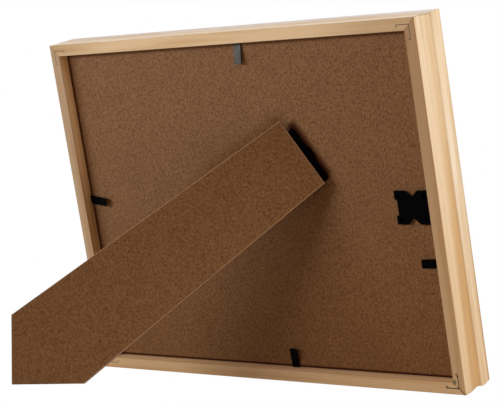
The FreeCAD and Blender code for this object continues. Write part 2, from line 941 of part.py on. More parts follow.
def hinge_rivet(number, place):
    """A domed rivet whose tail is clinched in the board's front face."""
    leaf_face = Vector(
        place[0].number, hinge_sheet.number - pin_height.number, place[1].number
    )
    seat = hinge_in_frame.multiply(Placement(leaf_face, Rotation()))
    body = new_body(f"hinge_rivet_{number}", standing.multiply(seat))
    sketch = new_sketch(body, f"rivet_{number}_half_section", "XY_Plane")
    shank = size("rivet_shank_radius")
    head = size("rivet_head_radius")
    dome = size("rivet_head_height")
    stack = hinge_sheet + board_thickness
    tail = size("rivet_tail_height") - stack
    crown_share = 0.6
    draw_outline(sketch, [
        (ZERO, dome),
        (head * crown_share, dome),
        (head, dome * (1 - crown_share)),
        (head, ZERO),
        (shank, ZERO),
        (shank, tail),
        (head, tail),
        (head, -stack),
        (ZERO, -stack),
    ])
    revolve(body, f"rivet_{number}_turning", sketch)
    return body


leaf_on_board = board_leaf()
leaf_on_leg = leg_leaf()
pin = hinge_pin()
rivets = [
    hinge_rivet(number, place)
    for number, place in enumerate(rivet_places, start=1)
]

# The leg


def easel_leg():
    """A tapered hardboard strip whose square foot stands on its lower edge."""
    body = new_body("easel_leg", standing.multiply(leg_placement))
    sketch = new_sketch(body, "leg_outline", "XZ_Plane", -leg_outer_face.number)
    draw_outline(sketch, leg_outline())
    extrude(body, "Pad", "leg_sheet", sketch, leg_thickness)
    holes = new_sketch(body, "leg_spur_holes", "XZ_Plane", -leg_inner_face.number)
    half_spur = size("spur_size") / 2
    for across, along in spur_places:
        centre = across - size("hinge_shift")
        low = (centre - half_spur, along - half_spur)
        high = (centre + half_spur, along + half_spur)
        draw_rectangle(holes, low, high)
    pocket(body, "leg_spur_cut", holes, size("spur_length"))
    return body


leg = easel_leg()

# Check every object, then write one file for each sub-part

subparts = (
    rails
    + list(nails.values())
    + list(roots.values())
    + list(tongues.values())
    + [glass, insert, board, hanger, leaf_on_board, leaf_on_leg, pin]
    + rivets
    + [leg]
)

doc.recompute()
for item in doc.Objects:
    if "Invalid" in item.State or "Error" in item.State:
        raise ValueError(f"{item.Label} failed: {item.State}")
os.makedirs("parts", exist_ok=True)
for item in subparts:
    if item.Shape.isNull() or not item.Shape.isValid():
        raise ValueError(f"{item.Label} has no valid shape")
    item.Shape.exportStep(f"parts/{item.Label}.step")
    centre = item.Shape.BoundBox.Center
    print(
        f"{item.Label}: {len(item.Shape.Solids)} solid, {item.Shape.Volume:.2f} mm3, "
        f"centre {centre.x:.2f} {centre.y:.2f} {centre.z:.2f}"
    )
print(f"lean {math.degrees(lean):.3f}, leg slant {math.degrees(leg_slant):.3f}")
print(f"leg reach {leg_reach:.2f}")
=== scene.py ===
import math

import bmesh
import bpy
from mathutils import Euler, Matrix, Vector


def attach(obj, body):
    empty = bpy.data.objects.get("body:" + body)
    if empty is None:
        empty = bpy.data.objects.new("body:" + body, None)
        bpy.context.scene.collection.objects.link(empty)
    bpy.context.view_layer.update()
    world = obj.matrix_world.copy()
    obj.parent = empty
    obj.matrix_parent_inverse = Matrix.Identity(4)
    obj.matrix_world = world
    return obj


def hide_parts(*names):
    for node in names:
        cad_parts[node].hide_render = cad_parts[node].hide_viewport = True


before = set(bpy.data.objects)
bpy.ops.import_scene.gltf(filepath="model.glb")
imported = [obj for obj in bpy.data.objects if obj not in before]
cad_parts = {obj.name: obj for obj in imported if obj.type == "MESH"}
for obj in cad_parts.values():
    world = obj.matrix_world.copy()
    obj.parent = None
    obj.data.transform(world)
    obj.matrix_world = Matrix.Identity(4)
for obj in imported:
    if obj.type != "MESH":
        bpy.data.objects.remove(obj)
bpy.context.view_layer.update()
scene = bpy.context.scene

# Lengths are in metres, and left and right are as seen from behind
# The frame's own directions start at its back's lower middle: x to the left, y out of the back, z up
# In a material a depth is such a y, and so it is negative inside the frame

LEAN = math.radians(13.467)
FLAT_SHIFT = (0.0, 0.0509282, 0.0123015)
TO_FLAT = Matrix.Translation(FLAT_SHIFT) @ Matrix.Rotation(LEAN, 4, "X")
HALF_WIDTH = 0.1616
HALF_HEIGHT = 0.1235

# The leg hinge's line in the frame's own directions, and how far the leg is open at rest

HINGE_TURN = math.radians(54.882)
HINGE_SHIFT = (-0.09936, 0.0, -0.14017)
LEG_OPEN = math.radians(30.2)

# Corners of a copy that lie nearer to each other than this are merged

MERGE_DISTANCE = 1e-6


# Helpers for node trees


def opaque(colour):
    """A plain colour with full alpha. A socket stays as it is."""
    return (*colour, 1.0) if isinstance(colour, tuple) else colour


class Nodes:
    """A short way to build one node tree."""

    def __init__(self, tree, output_kind):
        self.tree = tree
        tree.nodes.clear()
        self.output = tree.nodes.new(output_kind)

    def add(self, kind, inputs=None, **settings):
        node = self.tree.nodes.new(f"ShaderNode{kind}")
        for key, value in settings.items():
            setattr(node, key, value)
        for key, value in (inputs or {}).items():
            if isinstance(value, bpy.types.NodeSocket):
                self.tree.links.new(value, node.inputs[key])
            else:
                node.inputs[key].default_value = value
        return node

    def show(self, shader):
        self.tree.links.new(shader.outputs[0], self.output.inputs[0])

    def math(self, operation, first, second=0.0):
        return self.add("Math", {0: first, 1: second}, operation=operation).outputs[0]

    def product(self, first, *others):
        for value in others:
            first = self.math("MULTIPLY", first, value)
        return first

    def most(self, first, *others):
        for value in others:
            first = self.math("MAXIMUM", first, value)
        return first

    def away(self, value, middle):
        """How far a value is from a middle one."""
        return self.math("ABSOLUTE", self.math("SUBTRACT", value, middle))


class Shader(Nodes):
    """One procedural material."""

    def __init__(self, name):
        self.material = bpy.data.materials.new(name)
        self.material.use_nodes = True
        super().__init__(self.material.node_tree, "ShaderNodeOutputMaterial")

    def span(self, value, low, high, to_low=0.0, to_high=1.0, smooth=True):
        """Goes from to_low to to_high while the value goes from low to high, and stays level outside them."""
        kind = "SMOOTHSTEP" if smooth else "LINEAR"
        inputs = {"Value": value, "From Min": low, "From Max": high, "To Min": to_low, "To Max": to_high}
        return self.add("MapRange", inputs, interpolation_type=kind).outputs[0]

    def mix(self, factor, first, second, blend="MIX"):
        inputs = {0: factor, 6: opaque(first), 7: opaque(second)}
        return self.add("Mix", inputs, data_type="RGBA", blend_type=blend).outputs[2]

    def tint(self, factor, colour, gain):
        """Multiplies a colour by a gain, as far as the factor says."""
        return self.mix(factor, colour, gain, "MULTIPLY")

    def noise(self, vector, scale, detail=2.0, roughness=0.5, distortion=0.0):
        inputs = {"Vector": vector, "Scale": scale, "Detail": detail, "Roughness": roughness,
                  "Distortion": distortion}
        return self.add("TexNoise", inputs).outputs["Fac"]

    def place(self):
        return self.add("TexCoord").outputs["Object"]

    def mapped(self, vector, scale=(1.0, 1.0, 1.0), turn=(0.0, 0.0, 0.0), shift=(0.0, 0.0, 0.0)):
        inputs = {"Vector": vector, "Scale": scale, "Rotation": turn, "Location": shift}
        return self.add("Mapping", inputs).outputs[0]

    def flat_place(self):
        """Object coordinates turned back by the lean, so that they follow the frame's own directions."""
        return self.mapped(self.place(), turn=(LEAN, 0.0, 0.0), shift=FLAT_SHIFT)

    def split(self, vector):
        return self.add("SeparateXYZ", {0: vector}).outputs

    def along(self, vector, direction):
        """How far a place lies along a direction."""
        return self.add("VectorMath", {0: vector, 1: direction}, operation="DOT_PRODUCT").outputs["Value"]

    def bump(self, height, strength, distance):
        inputs = {"Height": height, "Strength": strength, "Distance": distance}
        return self.add("Bump", inputs).outputs[0]

    def surface(self, **inputs):
        named = {key.replace("_", " "): value for key, value in inputs.items()}
        self.show(self.add("BsdfPrincipled", named))
        return self.material


# Below, a NOISE holds a scale, detail, roughness and distortion, and a BUMP a strength and a distance
# A SPAN holds where a change starts and ends, and then its values there where they aren't 0 and 1
# A TINT is a gain on the colour under it

# Pine: its grain, whose scale along the rail is a small share of the scale across

GRAIN_SHARE = 0.035
STREAK_SHARE = GRAIN_SHARE / 2
RING_NOISE = (230.0, 1.5, 0.45, 0.15)
FIBRE_NOISE = (2400.0, 3.0, 0.6)
STREAK_NOISE = (900.0, 1.0)
RING_SPAN = (0.42, 0.66)
FIBRE_SPAN = (0.56, 0.80, 0.0, 0.35)
STREAK_SPAN = (0.66, 0.74, 0.0, 0.4)
RING_TINT = (0.88, 0.80, 0.68)
DARK_GRAIN_TINT = (0.70, 0.58, 0.46)
PINE_ROUGH_SPAN = (0.3, 0.8, 0.52, 0.68)
PINE_BUMP = (0.12, 0.0004)
PINE_SPECULAR = 0.2

# Pine: where its faces meet, by depth and by inset, and how its tones change along the rail and up the frame

BACK_SPAN = (-0.0007, -0.0003)
WALL_SPAN = (0.0070, 0.0078)
HEIGHT_SPAN = (0.03, 0.22)
PATCH_SPAN = (0.085, 0.145, 1.0, 0.0)

# Pine: the painted shade in the hollow of its outer side, its pale front lip and the painted shade at its
# front edge

HOLLOW_BACK_SPAN = (-0.006, -0.0165)
HOLLOW_FRONT_SPAN = (-0.0200, -0.0180)
HOLLOW_HEIGHT_SPAN = (0.08, 0.22, 1.0, 0.55)
HOLLOW_SHADE_TINT = (0.80, 0.66, 0.46)
LIP_BACK_SPAN = (-0.0186, -0.0194)
LIP_FRONT_SPAN = (-0.0289, -0.0286)
LIP_LOW_SPAN = (0.0, 0.10, 0.2, 1.1)
LIP_HIGH_SPAN = (0.12, 0.21, 1.0, 0.0)
LIP_TINT = (1.08, 1.18, 1.36)
EDGE_SHADE_SPAN = (-0.0255, -0.0285)
EDGE_SHADE_HEIGHTS = (0.24, 0.03)
EDGE_SHADE_TINT = (0.64, 0.50, 0.34)

# The mitres' dark lines: a value for all of them, and one for the outer end of the lower right one

MITRE_WIDTHS = (0.0004, 0.0007)
MITRE_STRENGTHS = (0.4, 0.8)
MITRE_TONE = (0.075, 0.032, 0.012)

# The lower right corner: its place and its outer end, and the bruised wood around its nail

CORNER_X_SPAN = (-0.14, -0.145)
CORNER_Z_SPAN = (0.022, 0.018)
CORNER_END_SPAN = (0.0050, 0.0035)
RAGGED_NOISE = (700.0, 1.0)
RAGGED_SIZE = 0.0012
BRUISE_RIM = (0.0009, 0.0004)
BRUISE_STRENGTH = 0.85
MOULD_TONE = (0.075, 0.072, 0.035)
DIRT_TONE = (0.02, 0.013, 0.008)
BRUISES = (  # inset from the right side and from the lower edge, reach and tone
    (0.0074, 0.0084, 0.0020, MOULD_TONE),
    (0.0046, 0.0126, 0.0008, DIRT_TONE),
    (0.0130, 0.0046, 0.0008, DIRT_TONE),
    (0.0048, 0.0048, 0.0008, DIRT_TONE),
)


def grain_scale(upright, share):
    """A scale that is small along the rail."""
    return (1.0, 1.0, share) if upright else (share, 1.0, 1.0)


def grained(look, flat, upright, shift, tone):
    """A tone with rings, fibres and streaks in it. The fibres are given back too."""
    grain = look.mapped(flat, grain_scale(upright, GRAIN_SHARE), shift=shift)
    rings = look.noise(grain, *RING_NOISE)
    fibre = look.noise(grain, *FIBRE_NOISE)
    streaks = look.noise(look.mapped(flat, grain_scale(upright, STREAK_SHARE), shift=shift), *STREAK_NOISE)
    dark = look.tint(1.0, tone, DARK_GRAIN_TINT)
    colour = look.tint(look.span(rings, *RING_SPAN), tone, RING_TINT)
    colour = look.mix(look.span(fibre, *FIBRE_SPAN), colour, dark)
    colour = look.mix(look.span(streaks, *STREAK_SPAN), colour, dark)
    return colour, fibre


def worn_corner(look, flat, from_side, from_end, on_back, colour):
    """A colour with the mitres' lines, the open end of the lower right mitre and the bruises beside it."""
    x, _, z = look.split(flat)
    near = look.product(look.span(x, *CORNER_X_SPAN), look.span(z, *CORNER_Z_SPAN), on_back)
    outer = look.product(near, look.span(from_side, *CORNER_END_SPAN))
    width = look.span(outer, 0.0, 1.0, *MITRE_WIDTHS, smooth=False)
    line = look.math("LESS_THAN", look.away(from_side, from_end), width)
    line = look.product(line, look.span(outer, 0.0, 1.0, *MITRE_STRENGTHS))
    colour = look.mix(line, colour, MITRE_TONE)
    ragged = look.product(look.noise(flat, *RAGGED_NOISE), RAGGED_SIZE)
    rim_start, rim_end = BRUISE_RIM
    for across, up, reach, tone in BRUISES:
        distance = look.math("ADD", look.away(from_side, across), look.away(from_end, up))
        distance = look.math("ADD", distance, ragged)
        bruise = look.span(distance, reach + rim_start, reach + rim_end, 0.0, BRUISE_STRENGTH)
        colour = look.mix(look.product(bruise, near), colour, tone)
    return colour


def pine(name, upright, shift, back, side, wall, lip=LIP_TINT, top_edge_shade=0.2, patch=None):
    """Sanded pine. Its back, outer side and inner wall have a tone each at the frame's bottom and at its top.

    The lip has a tint, the painted shade at the front edge a strength for the frame's top, and a patch of the
    back a middle along the rail and a tint."""
    look = Shader(name)
    flat = look.flat_place()
    x, depth, z = look.split(flat)
    from_side = look.math("SUBTRACT", HALF_WIDTH, look.math("ABSOLUTE", x))
    from_end = look.math("SUBTRACT", HALF_HEIGHT, look.away(z, HALF_HEIGHT))
    on_back = look.span(depth, *BACK_SPAN)
    on_wall = look.span(from_side if upright else from_end, *WALL_SPAN)
    off_wall = look.math("SUBTRACT", 1.0, on_wall)

    height = look.span(z, *HEIGHT_SPAN)
    back_tone = look.mix(height, *back)
    if patch:
        middle, gain = patch
        back_tone = look.tint(look.span(look.away(x, middle), *PATCH_SPAN), back_tone, gain)
    tone = look.mix(on_wall, look.mix(height, *side), look.mix(height, *wall))
    tone = look.mix(on_back, tone, back_tone)
    colour, fibre = grained(look, flat, upright, shift, tone)

    # Painted shade in the hollow of the outer side, weaker towards the frame's top
    hollow = look.product(look.span(depth, *HOLLOW_BACK_SPAN), look.span(depth, *HOLLOW_FRONT_SPAN), off_wall,
                          look.span(z, *HOLLOW_HEIGHT_SPAN))
    colour = look.tint(hollow, colour, HOLLOW_SHADE_TINT)
    on_lip = look.product(look.span(depth, *LIP_BACK_SPAN), off_wall)
    if upright:
        on_lip = look.product(on_lip, look.span(z, *LIP_LOW_SPAN), look.span(z, *LIP_HIGH_SPAN))
    else:
        on_lip = look.product(on_lip, look.span(depth, *LIP_FRONT_SPAN))
    colour = look.tint(on_lip, colour, lip)
    # Painted shade towards the front edge, weaker at the frame's top
    edge = look.product(look.span(depth, *EDGE_SHADE_SPAN), look.span(z, *EDGE_SHADE_HEIGHTS, top_edge_shade, 1.0))
    colour = look.tint(edge, colour, EDGE_SHADE_TINT)
    colour = worn_corner(look, flat, from_side, from_end, on_back, colour)
    return look.surface(Base_Color=colour, Roughness=look.span(fibre, *PINE_ROUGH_SPAN),
                        Normal=look.bump(fibre, *PINE_BUMP), Specular_IOR_Level=PINE_SPECULAR)


# Hardboard: its tones at the frame's lower right and upper left, whose difference is painted shade, its
# specks and its surface

BOARD_TONES = ((0.146, 0.073, 0.032), (0.172, 0.092, 0.045))
LEG_TONES = ((0.155, 0.080, 0.033), (0.122, 0.056, 0.0205))
BOARD_SPECKLE = 0.9
LEG_SPECKLE = 1.0
DRIFT_RISE = 0.9
DRIFT_SPAN = (-0.12, 0.31)
CLOUD_NOISE = (45.0, 3.0, 0.6)
MOTTLE_NOISE = (620.0, 4.0, 0.75)
FINE_NOISE = (1500.0, 2.0, 0.6)
CLOUD_SPAN = (0.3, 0.7, 0.0, 0.22)
DARK_SPECK_SPAN = (0.46, 0.68)
LIGHT_SPECK_SPAN = (0.32, 0.52)
FINE_SPECK_SPAN = (0.50, 0.70)
FINE_SPECK_SHARE = 0.7
DARK_SPECK_TINT = (0.60, 0.52, 0.42)
LIGHT_SPECK_TINT = (1.34, 1.37, 1.42)
BOARD_ROUGH_SPAN = (0.3, 0.7, 0.48, 0.62)
BOARD_BUMP = (0.10, 0.0003)
BOARD_SPECULAR = 0.04

# Painted shade on the board alone: a darker, warmer lower part, shadows along three rails, past the hinge,
# above the leg

LOW_BOARD_SHADE_SPAN = (0.14, 0.03, 0.0, 0.6)
LOW_BOARD_SHADE_TINT = (0.92, 0.82, 0.62)
LOW_WALL_SHADOW_SPAN = (0.0105, 0.0097, 0.0, 0.95)
HIGH_WALL_SHADOW_SPAN = (0.2352, 0.2364, 0.0, 0.35)
LEFT_WALL_SHADOW_SPAN = (0.1495, 0.1525, 0.0, 0.75)
SHADOW_TINT = (0.22, 0.06, 0.012)
HINGE_SHADOW_NEAR_SPAN = (-0.004, -0.001)
HINGE_SHADOW_FAR_SPAN = (0.0026, 0.0082, 0.86, 0.0)
HINGE_SHADOW_END_SPAN = (0.0200, 0.0245, 1.0, 0.0)
SHADE_TURN = math.radians(26.01)
SHADE_ACROSS = (math.sin(SHADE_TURN), 0.0, math.cos(SHADE_TURN))
SHADE_RIGHT = (-math.cos(SHADE_TURN), 0.0, math.sin(SHADE_TURN))
SHADE_LOW_SPAN = (0.1176, 0.1370)
SHADE_HIGH_SPAN = (0.1490, 0.1585, 1.0, 0.0)
SHADE_START_SPAN = (0.0, 0.05)
SHADE_END_SPAN = (0.112, 0.123, 1.0, 0.0)
SHADE_TINT = (0.81, 0.74, 0.61)


def board_shadows(look, flat, base, colour):
    """A colour with painted shadows in it, which stay where they are when the leg folds."""
    x, _, z = look.split(flat)
    # Painted shadow of the leg on the board, in a strip above it
    across = look.along(flat, SHADE_ACROSS)
    right = look.along(flat, SHADE_RIGHT)
    shade = look.product(look.span(across, *SHADE_LOW_SPAN), look.span(across, *SHADE_HIGH_SPAN),
                         look.span(right, *SHADE_START_SPAN), look.span(right, *SHADE_END_SPAN))
    colour = look.tint(shade, colour, SHADE_TINT)
    # Painted shadows on the board along the bottom, top and left rails' walls
    wall_shadows = look.most(look.span(z, *LOW_WALL_SHADOW_SPAN), look.span(z, *HIGH_WALL_SHADOW_SPAN),
                      look.span(x, *LEFT_WALL_SHADOW_SPAN))
    # Painted shadow on the board past the hinge
    hinge_place = look.mapped(flat, turn=(0.0, HINGE_TURN, 0.0), shift=HINGE_SHIFT)
    along_hinge, _, past_hinge = look.split(hinge_place)
    hinge_shadow = look.product(look.span(past_hinge, *HINGE_SHADOW_NEAR_SPAN), look.span(past_hinge, *HINGE_SHADOW_FAR_SPAN),
                        look.span(look.math("ABSOLUTE", along_hinge), *HINGE_SHADOW_END_SPAN))
    return look.mix(look.most(wall_shadows, hinge_shadow), colour, look.tint(1.0, base, SHADOW_TINT))


def hardboard(name, tones, speckle, shadows=False):
    """Pressed brown fibre board with fine specks."""
    look = Shader(name)
    flat = look.flat_place()
    cloud = look.noise(flat, *CLOUD_NOISE)
    mottle = look.noise(flat, *MOTTLE_NOISE)
    fine = look.noise(flat, *FINE_NOISE)
    x, _, z = look.split(flat)
    # Painted shade: the tone shifts from the frame's lower right to its upper left, darker towards the
    # board's lower right and the leg's foot
    drift = look.math("ADD", x, look.product(z, DRIFT_RISE))
    base = look.mix(look.span(drift, *DRIFT_SPAN), *tones)
    # Painted shade on the board alone: darker and warmer towards its bottom
    if shadows:
        base = look.tint(look.span(z, *LOW_BOARD_SHADE_SPAN), base, LOW_BOARD_SHADE_TINT)
    dark = look.tint(1.0, base, DARK_SPECK_TINT)
    light = look.tint(1.0, base, LIGHT_SPECK_TINT)
    colour = look.mix(look.span(cloud, *CLOUD_SPAN), base, light)
    colour = look.mix(look.span(mottle, *DARK_SPECK_SPAN, 0.0, speckle), colour, dark)
    colour = look.mix(look.span(mottle, *LIGHT_SPECK_SPAN, speckle, 0.0), colour, light)
    colour = look.mix(look.span(fine, *FINE_SPECK_SPAN, 0.0, FINE_SPECK_SHARE * speckle), colour, dark)
    if shadows:
        colour = board_shadows(look, flat, base, colour)
    return look.surface(Base_Color=colour, Roughness=look.span(mottle, *BOARD_ROUGH_SPAN),
                        Normal=look.bump(fine, *BOARD_BUMP), Specular_IOR_Level=BOARD_SPECULAR)


# The leg's arris: tones of pale fibre and painted highlight, where painted shade starts along x, the shade's
# width at the foot

ARRIS_PALE = (0.48, 0.288, 0.168)
ARRIS_DEEP = (0.28, 0.168, 0.098)
ARRIS_SHADE = (0.045, 0.032, 0.019)
ARRIS_FOOT_SHADE = (0.035, 0.018, 0.008)
ARRIS_SHADE_SPAN = (0.106, 0.110)
ARRIS_FOOT_SHADE_RIM = (0.0020, 0.0012)
TUFT_NOISE = (1800.0, 3.0, 0.7)
TUFT_SPAN = (0.35, 0.65)
TUFT_BUMP = (0.3, 0.0004)
ARRIS_ROUGHNESS = 0.8
ARRIS_SPECULAR = 0.1


def fibre_edge(name, foot_side):
    """Hardboard's arris: pale fibre and painted highlight along the strip, painted shade towards its foot,
    darkest around it.
    """
    look = Shader(name)
    place = look.place()
    x, _, z = look.split(place)
    tufts = look.noise(place, *TUFT_NOISE)
    # Pale fibre with a painted highlight along the arris
    colour = look.mix(look.span(tufts, *TUFT_SPAN), ARRIS_DEEP, ARRIS_PALE)
    # Painted shade along x towards the foot, and darker still around the foot
    colour = look.mix(look.span(x, *ARRIS_SHADE_SPAN), colour, ARRIS_SHADE)
    start, end = ARRIS_FOOT_SHADE_RIM
    foot = look.most(look.span(z, start, end), look.span(x, foot_side - start, foot_side - end))
    colour = look.mix(foot, colour, ARRIS_FOOT_SHADE)
    return look.surface(Base_Color=colour, Roughness=ARRIS_ROUGHNESS, Normal=look.bump(tufts, *TUFT_BUMP),
                        Specular_IOR_Level=ARRIS_SPECULAR)


# Steel, with the change of its roughness from the least to the most worn places

COAT_NOISE = (1500.0, 2.0, 0.5)
COAT_BUMP = (0.08, 0.0002)
WEAR_NOISE = (260.0, 3.0, 0.6)
WEAR_SPAN = (0.5, 0.8, 0.0, 0.5)
WEAR_GAIN = 1.7
WEAR_ROUGH_SPAN = (0.3, 0.7)
WEAR_ROUGH_CHANGE = (-0.06, 0.08)


def steel(name, colour, roughness, metallic=0.0, specular=0.2):
    """Dark sheet steel with a fine uneven coat."""
    look = Shader(name)
    place = look.place()
    coat = look.noise(place, *COAT_NOISE)
    wear = look.noise(place, *WEAR_NOISE)
    worn = tuple(part * WEAR_GAIN for part in colour)
    ends = [roughness + change for change in WEAR_ROUGH_CHANGE]
    return look.surface(Base_Color=look.mix(look.span(wear, *WEAR_SPAN), colour, worn),
                        Roughness=look.span(wear, *WEAR_ROUGH_SPAN, *ends),
                        Normal=look.bump(coat, *COAT_BUMP), Metallic=metallic, Specular_IOR_Level=specular)


# Glass and paper

GLASS_TONE = (0.93, 0.97, 0.95)
GLASS_ROUGHNESS = 0.01
GLASS_INDEX = 1.5
GLASS_NOISE = (12.0, 1.0)
GLASS_BUMP = (0.02, 0.0005)
PAPER_NOISE = (1600.0, 3.0, 0.6)
PAPER_SPAN = (0.35, 0.65)
PAPER_TONES = ((0.80, 0.79, 0.76), (0.88, 0.87, 0.84))
PAPER_ROUGHNESS = 0.85
PAPER_BUMP = (0.05, 0.0002)


def clear_glass():
    look = Shader("frame_glass")
    waves = look.noise(look.place(), *GLASS_NOISE)
    return look.surface(Base_Color=opaque(GLASS_TONE), Roughness=GLASS_ROUGHNESS, IOR=GLASS_INDEX,
                        Transmission_Weight=1.0, Normal=look.bump(waves, *GLASS_BUMP))


def paper():
    look = Shader("insert_paper")
    fibres = look.noise(look.place(), *PAPER_NOISE)
    return look.surface(Base_Color=look.mix(look.span(fibres, *PAPER_SPAN), *PAPER_TONES),
                        Roughness=PAPER_ROUGHNESS, Normal=look.bump(fibres, *PAPER_BUMP))


# A finish for each CAD node. The rails' copies further down take theirs over, and the leg's copy has its own


def even(tone):
    """The same tone at the frame's bottom and at its top."""
    return (tone, tone)


finish = {
    "top_rail": pine(
        "pine_top", False, shift=(0.0, 0.0, 0.0),
        back=even((0.45, 0.33, 0.19)), side=even((0.83, 0.73, 0.60)), wall=even((0.5, 0.3, 0.15)),
        lip=(0.87, 0.92, 1.08), top_edge_shade=0.0, patch=(0.015, (1.27, 1.29, 1.365)),
    ),
    "bottom_rail": pine(
        "pine_bottom", False, shift=(0.31, 0.0, 0.07),
        back=even((0.48, 0.32, 0.17)), side=even((0.68, 0.43, 0.22)), wall=even((0.68, 0.45, 0.255)),
    ),
    "left_rail": pine(
        "pine_left", True, shift=(0.02, 0.05, 0.13),
        back=((0.40, 0.285, 0.175), (0.345, 0.235, 0.14)), side=even((0.7, 0.48, 0.28)),
        wall=((0.53, 0.315, 0.148), (0.70, 0.455, 0.23)),
    ),
    "right_rail": pine(
        "pine_right", True, shift=(0.09, 0.11, 0.41),
        back=((0.40, 0.265, 0.14), (0.31, 0.19, 0.095)), side=((0.62, 0.465, 0.29), (0.70, 0.575, 0.41)),
        wall=even((0.6, 0.38, 0.2)),
    ),
    "backing_board": hardboard("hardboard_back", BOARD_TONES, BOARD_SPECKLE, shadows=True),
    "glass_pane": clear_glass(),
    "photo_insert": paper(),
}
nail_brown = steel("nail_brown", (0.11, 0.062, 0.033), 0.6)
nail_light = steel("nail_light", (0.15, 0.085, 0.045), 0.6)
nail_black = steel("nail_black", (0.006, 0.005, 0.004), 0.6, specular=0.1)
tab_black = steel("tab_black", (0.0012, 0.0012, 0.0014), 0.5, specular=0.008)
# Painted reflection: the top tab's steel is lighter than the other tabs', standing in for the light it
# reflects from above
tab_sheen = steel("tab_sheen", (0.030, 0.025, 0.021), 0.45, metallic=0.2, specular=0.15)
coat_black = steel("coat_black", (0.001, 0.001, 0.0013), 0.5, specular=0.006)
finish["top_left_v_nail"] = nail_light
finish["top_right_v_nail"] = nail_brown
finish["bottom_left_v_nail"] = nail_light
finish["bottom_right_v_nail"] = nail_black
for side in ("top", "bottom", "left", "right"):
    finish[f"{side}_tab_root"] = tab_black
    finish[f"{side}_tab"] = tab_sheen if side == "top" else tab_black
for name in ("hanger_plate", "hinge_board_leaf", "hinge_leg_leaf", "hinge_pin",
             "hinge_rivet_1", "hinge_rivet_2", "hinge_rivet_3"):
    finish[name] = coat_black
for name, material in finish.items():
    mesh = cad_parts[name].data
    for index in range(len(mesh.materials)):
        mesh.materials[index] = material


# The leg: the CAD strip with its arrises eased, and its upper edge and its foot's side a little further out

LEG_WIDER = 0.0014
LEG_LONGER = 0.0004
ARRIS_WIDTH = 0.0003
ARRIS_SEGMENTS = 2
COPLANAR_ANGLE = 0.02
SHARP_ANGLE = 0.5

# Which of the strip's corners move, by how far they lie from the foot's point across and up the strip

UPPER_EDGE_FROM = 0.02
POINT_REACH = 0.001
FOOT_HEIGHT = 0.06

# Directions on the opened leg: across and up the strip, and along the foot's side and its base

LEG_TURN = (Matrix.Rotation(-LEAN, 3, "X") @ Matrix.Rotation(-HINGE_TURN, 3, "Y")
            @ Matrix.Rotation(LEG_OPEN, 3, "X"))
LEG_ACROSS = LEG_TURN @ Vector((1.0, 0.0, 0.0))
LEG_UP = LEG_TURN @ Vector((0.0, 0.0, 1.0))
FOOT_SIDE = LEG_TURN @ Vector((math.sin(HINGE_TURN), 0.0, math.cos(HINGE_TURN)))
FOOT_BASE = LEG_TURN @ Vector((math.cos(HINGE_TURN), 0.0, -math.sin(HINGE_TURN)))


def widen_leg(work):
    """Moves the strip's upper edge out along the foot's side, and the foot's side along the foot's base."""
    point = min((corner.co.copy() for corner in work.verts), key=LEG_UP.dot)
    for corner in work.verts:
        across = (corner.co - point).dot(LEG_ACROSS)
        on_foot = (corner.co - point).dot(LEG_UP) < FOOT_HEIGHT
        if across > UPPER_EDGE_FROM and on_foot:
            corner.co += FOOT_SIDE * (LEG_WIDER / math.sin(HINGE_TURN)) + FOOT_BASE * LEG_LONGER
        elif across > UPPER_EDGE_FROM:
            corner.co += LEG_ACROSS * LEG_WIDER
        elif on_foot and abs(across) < POINT_REACH:
            corner.co += FOOT_BASE * LEG_LONGER


def eased_leg(node, name, face_material, edge_material):
    """A wider copy of the CAD strip with its edges broken by a small bevel."""
    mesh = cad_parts[node].data.copy()
    mesh.name = name
    mesh.materials.clear()
    mesh.materials.append(face_material)
    mesh.materials.append(edge_material)
    piece = bpy.data.objects.new(name, mesh)
    scene.collection.objects.link(piece)
    work = bmesh.new()
    work.from_mesh(mesh)
    bmesh.ops.remove_doubles(work, verts=work.verts, dist=MERGE_DISTANCE)
    bmesh.ops.dissolve_limit(work, angle_limit=COPLANAR_ANGLE, verts=work.verts, edges=work.edges)
    widen_leg(work)
    for face in work.faces:
        face.material_index = 0
    sharp = [edge for edge in work.edges if edge.calc_face_angle(0.0) > SHARP_ANGLE]
    bmesh.ops.bevel(work, geom=sharp, offset=ARRIS_WIDTH, offset_type="OFFSET", segments=ARRIS_SEGMENTS,
                    profile=0.5, affect="EDGES", clamp_overlap=True, material=1)
    work.to_mesh(mesh)
    work.free()
    return piece


leg_side = max(corner.co.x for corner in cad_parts["easel_leg"].data.vertices)
leg = eased_leg("easel_leg", "leg_strip", hardboard("hardboard_leg", LEG_TONES, LEG_SPECKLE),
                fibre_edge("leg_arris", leg_side))
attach(leg, "leg")
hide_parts("easel_leg")


# The rails: the CAD lengths with the step between side and lip softened and the outer arrises eased
# Each point of the outline holds a depth from the back and how far the side lies inside the back's edge there

OUTLINE = ((0.0, 0.00035), (0.0002, 0.00010), (0.0005, 0.0), (0.0070, 0.0), (0.0095, 0.00022),
           (0.0120, 0.00055), (0.0145, 0.00082), (0.0165, 0.00088), (0.0180, 0.00062), (0.0192, 0.0),
           (0.0204, -0.00042), (0.0216, -0.00052), (0.0280, -0.0005), (0.0287, -0.00035), (0.0290, 0.0))
LIP_DEPTH = 0.0192
SIDE_LIP_EXTRA = 0.0004
SOFT_ANGLE = math.radians(28.0)

# How near the CAD's outer side a place counts as on it, and how alike a mitre's two insets are

OUTER_REACH = 0.0013
MITRE_SLACK = 0.0002

# The top left corner's side bulges instead of rounding inwards, from this x, depth and height on

BULGE_X = 0.15
BULGE_DEPTH = 0.002
BULGE_HEIGHT = 0.23
BULGE_SHARE = -0.5

# The bottom lip rises towards the lower right corner, from this x and depth on and below this height

RISE_X = -0.146
RISE_DEPTH = 0.018
RISE_HEIGHT = 0.02
RISE_SLOPE = 0.2


def outline_inset(depth):
    """How far the moulding's outer side lies inside the back's edge at a depth."""
    for (near, first), (far, second) in zip(OUTLINE, OUTLINE[1:]):
        if depth <= far:
            return first + (second - first) * max(0.0, depth - near) / (far - near)
    return OUTLINE[-1][1]


